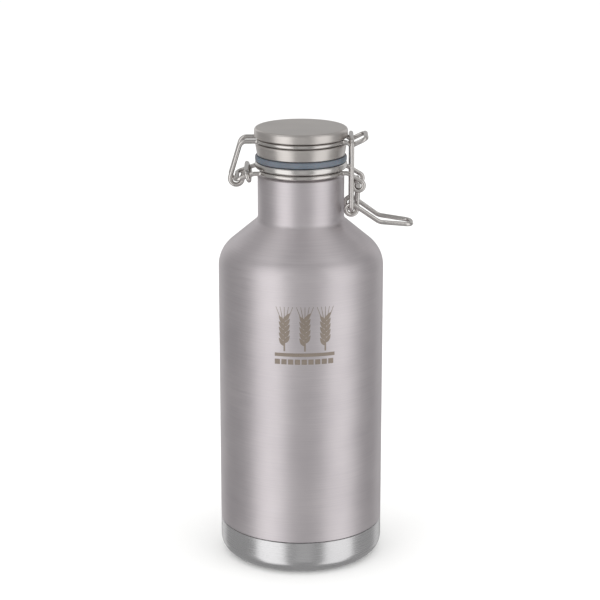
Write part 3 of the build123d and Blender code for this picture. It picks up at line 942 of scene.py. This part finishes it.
ear_real = add(ear, "GeometryNodeRealizeInstances", {"Geometry": grains}).outputs["Geometry"]
ear_metal = add(ear, "GeometryNodeSetMaterial", {"Geometry": ear_real, "Material": ear_in["Metal"]})
add(ear, "NodeGroupOutput", {"Geometry": ear_metal.outputs["Geometry"]})
print("barley_ear nodes", len(ear.nodes))

# %% [markdown]
# The tree draws one ear. It is taken three times, and awns, stems, the bar and the blocks are
# added as flat strips. Then each point goes from the flat drawing to the cylinder: its x becomes
# an angle, and its y the distance from the steel. Long strips are cut up so that they can bend.

# %% Drawing the mark and wrapping it on the body
mark = bpy.data.objects.new("etched_mark", bpy.data.meshes.new("etched_mark"))
bpy.context.collection.objects.link(mark)
ear_modifier = mark.modifiers.new("barley_ear", "NODES")
ear_modifier.node_group = ear
ear_sizes = {
    "Pairs": 5,
    "Spacing": 3.2,
    "Lean": math.radians(34),
    "Grain": grain,
    "Metal": etched_steel,
}
for item in ear.interface.items_tree:
    if item.in_out == "INPUT":
        ear_modifier[item.identifier] = ear_sizes[item.name]
baked(mark)
bpy.data.objects.remove(grain)


def strip(x0, x1, z0, z1, pieces=24):
    """Corner places of a level strip, cut into pieces so that it can follow the body."""
    xs = [x0 + (x1 - x0) * k / pieces for k in range(pieces + 1)]
    return [(x, z0) for x in xs] + [(x, z1) for x in xs[::-1]]


def add_flat(mesh, places):
    """Adds a flat prism with these corners, listed from below left, to a mesh."""
    count = len(places)
    front = [mesh.verts.new((x, -etch_proud, z)) for x, z in places]
    back = [mesh.verts.new((x, etch_proud, z)) for x, z in places]
    half = count // 2
    for k in range(half - 1):
        a, b, c, d = k, k + 1, count - 2 - k, count - 1 - k
        mesh.faces.new((front[a], front[b], front[c], front[d]))
        mesh.faces.new((back[d], back[c], back[b], back[a]))
    for k in range(count):
        n = (k + 1) % count
        mesh.faces.new((front[n], front[k], back[k], back[n]))


drawing = bmesh.new()
ear_step = 11.5
ear_foot = -7.5
ear_height = 18.5
ear_top = ear_foot + ear_height
awn_leans = (-0.34, -0.17, 0.0, 0.17, 0.34)
awn_fan = 6
awn_sweep = 8
awn_root_z = ear_top - 3.0
awn_tip_z = ear_top + 4.0
awn_root = 0.22
awn_tip = 0.14
stem_half = 0.45
stem_foot = ear_foot - 3.0
stem_top = ear_top - 2.0
for ear_x in (-ear_step, 0.0, ear_step):
    ear_verts = len(drawing.verts)
    drawing.from_mesh(mark.data)
    drawing.verts.ensure_lookup_table()
    moved = drawing.verts[ear_verts:]
    bmesh.ops.translate(drawing, verts=moved, vec=(ear_x, 0, ear_foot))
    for lean_of_awn in awn_leans:
        awn_x = ear_x + lean_of_awn * awn_fan
        far_x = awn_x + lean_of_awn * awn_sweep
        places = [(awn_x - awn_root, awn_root_z), (awn_x + awn_root, awn_root_z)]
        places += [(far_x + awn_tip, awn_tip_z), (far_x - awn_tip, awn_tip_z)]
        add_flat(drawing, places)
    add_flat(drawing, strip(ear_x - stem_half, ear_x + stem_half, stem_foot, stem_top, pieces=1))
bar_half = 17.0
bar_low = -13.6
bar_high = -11.6
add_flat(drawing, strip(-bar_half, bar_half, bar_low, bar_high))
block_count = 9
block_width = 3.0
block_low = -18.2
block_high = -15.2
for block in range(block_count):
    block_x = -bar_half + block * 2 * bar_half / block_count
    add_flat(drawing, strip(block_x, block_x + block_width, block_low, block_high, pieces=4))
for vertex in drawing.verts:
    angle = (vertex.co.x + mark_x) / body_radius
    radius = body_radius - vertex.co.y
    place = (radius * math.sin(angle), -radius * math.cos(angle), vertex.co.z + mark_z)
    vertex.co = Vector(place) * MM
bmesh.ops.recalc_face_normals(drawing, faces=drawing.faces)
drawing.to_mesh(mark.data)
drawing.free()
finish_piece(mark, "bottle", etched_steel)
print("etched mark faces", len(mark.data.polygons))

# %% [markdown]
# ## Pieces kept from the frame
#
# The pieces inside the bottle and the lid keep the frame's own shapes and get their finishes.

# %% Finishing the kept nodes
kept_nodes = {
    "inner_base": flask_steel,
    "vacuum_port_cover": base_steel,
    "vacuum_seal_bead": glass_solder,
    "getter": getter_powder,
    "getter_clip": flask_steel,
    "lid_core": core_plastic,
}
for node_name, material in kept_nodes.items():
    kept = frame["nodes"][node_name]
    kept.data.materials.clear()
    kept.data.materials.append(material)
print("kept nodes", len(kept_nodes))

# %% [markdown]
# ## Studio
#
# A white floor, a soft box at each side of the front, a smaller one above each of them, a
# faint card in front and two dim boxes behind, which give the bottle's back some shape. Steel
# shows what it reflects, so for glossy rays the surroundings are a mid grey with a paler wall
# behind the bottle, and the floor lets those rays through to the soft boxes.

# %% Floor
floor_mesh = bpy.data.meshes.new("floor")
half = 6.0
floor_corners = [(-half, -half, 0), (half, -half, 0), (half, half, 0), (-half, half, 0)]
floor_mesh.from_pydata(floor_corners, [], [(0, 1, 2, 3)])
floor = bpy.data.objects.new("floor", floor_mesh)
bpy.context.collection.objects.link(floor)
paper = bpy.data.materials.new("white_paper")
paper.use_nodes = True
paper_tree = paper.node_tree
paper_tree.nodes.clear()
matt_paper = add(paper_tree, "ShaderNodeBsdfDiffuse", {"Color": linear("F6F6F5")})
clear = add(paper_tree, "ShaderNodeBsdfTransparent")
glossy = add(paper_tree, "ShaderNodeLightPath").outputs["Is Glossy Ray"]
choice = {0: glossy, 1: matt_paper.outputs["BSDF"], 2: clear.outputs["BSDF"]}
paper_mix = add(paper_tree, "ShaderNodeMixShader", choice)
add(paper_tree, "ShaderNodeOutputMaterial", {"Surface": paper_mix.outputs["Shader"]})
floor_mesh.materials.append(paper)
print("floor", 2 * half, "m square")

# %% Surroundings
daylight = 1.12
grey_level = 0.40
wall_level = 0.50
to_wall = (0.0, 0.93, 0.37)
fade_from = 0.70
fade_to = 0.95
world = bpy.data.worlds.new("studio")
bpy.context.scene.world = world
world.use_nodes = True
sky = world.node_tree
sky.nodes.clear()
direction = add(sky, "ShaderNodeTexCoord").outputs["Generated"]
facing_wall = add(sky, "ShaderNodeVectorMath", {0: direction, 1: to_wall}, operation="DOT_PRODUCT")
fade = {"Value": facing_wall.outputs["Value"], "From Min": fade_from, "From Max": fade_to}
fade |= {"To Min": grey_level, "To Max": wall_level}
mirrored = add(sky, "ShaderNodeMapRange", fade, interpolation_type="SMOOTHSTEP")
ray_kind = add(sky, "ShaderNodeLightPath").outputs["Is Glossy Ray"]
levels = {"Factor": ray_kind, "A": daylight, "B": mirrored.outputs["Result"]}
strength = add(sky, "ShaderNodeMix", levels)
backdrop = {"Color": linear("FFFFFF"), "Strength": strength.outputs["Result"]}
surround = add(sky, "ShaderNodeBackground", backdrop)
add(sky, "ShaderNodeOutputWorld", {"Surface": surround.outputs["Background"]})
print("glossy rays see levels from", grey_level, "to", wall_level)

# %% [markdown]
# A soft box is an area light. A glowing plane would do too, but a lamp's size and power are
# plain numbers. Its power follows from how bright its face should look and from its area.

# %% Soft boxes


def soft_box(name, azimuth, distance, width, height, level, aim, radiance):
    """A soft box at an azimuth from the front, in degrees; it faces the axis at a height."""
    light = bpy.data.lights.new(name, "AREA")
    light.shape = "RECTANGLE"
    light.size = width
    light.size_y = height
    light.energy = radiance * math.pi * width * height
    lamp = bpy.data.objects.new(name, light)
    bpy.context.collection.objects.link(lamp)
    angle = math.radians(azimuth)
    lamp.location = (distance * math.sin(angle), -distance * math.cos(angle), level)
    facing = Vector((-lamp.location.x, -lamp.location.y, aim - level))
    lamp.rotation_euler = facing.to_track_quat("-Z", "Y").to_euler()


# Each row holds azimuth, distance, width, height, level, aim and radiance.
soft_boxes = {
    "left_box": (-44, 1.2, 0.95, 2.8, -0.2, -0.2, 1.08),
    "right_box": (56, 1.2, 1.00, 2.8, -0.2, -0.2, 0.86),
    "front_card": (4, 1.6, 0.7, 2.0, 0.2, 0.2, 0.20),
    "back_left_box": (-148, 1.4, 0.6, 2.0, 0.2, 0.2, 0.40),
    "back_right_box": (142, 1.4, 0.6, 2.0, 0.2, 0.2, 0.34),
    "left_top_box": (-80, 0.55, 0.5, 0.5, 1.2, 0.15, 0.9),
    "right_top_box": (80, 0.55, 0.5, 0.5, 1.2, 0.15, 0.8),
}
for box_name, numbers in soft_boxes.items():
    soft_box(box_name, *numbers)

# %% [markdown]
# The camera stands 0.46 m high and looks down by 16 degrees, to a point a little above the
# bottle's middle. It is 1.1 m away with a long lens, so the bottle's sides stay nearly upright.

# %% Camera
camera_side = -0.00054
camera_distance = 1.1
camera_height = 0.4616
camera_pitch = 15.77
frame_pixels = 600
focal_pixels = 1988.2
camera_data = bpy.data.cameras.new("camera")
camera_data.sensor_width = 36.0
camera_data.lens = focal_pixels / frame_pixels * camera_data.sensor_width
camera_data.clip_end = 50
camera = bpy.data.objects.new("camera", camera_data)
bpy.context.collection.objects.link(camera)
camera.location = (camera_side, -camera_distance, camera_height)
camera.rotation_euler = (math.radians(90 - camera_pitch), 0, 0)
bpy.context.scene.camera = camera
bpy.context.scene.view_settings.view_transform = "Standard"
print("camera lens", round(camera_data.lens, 1), "mm")
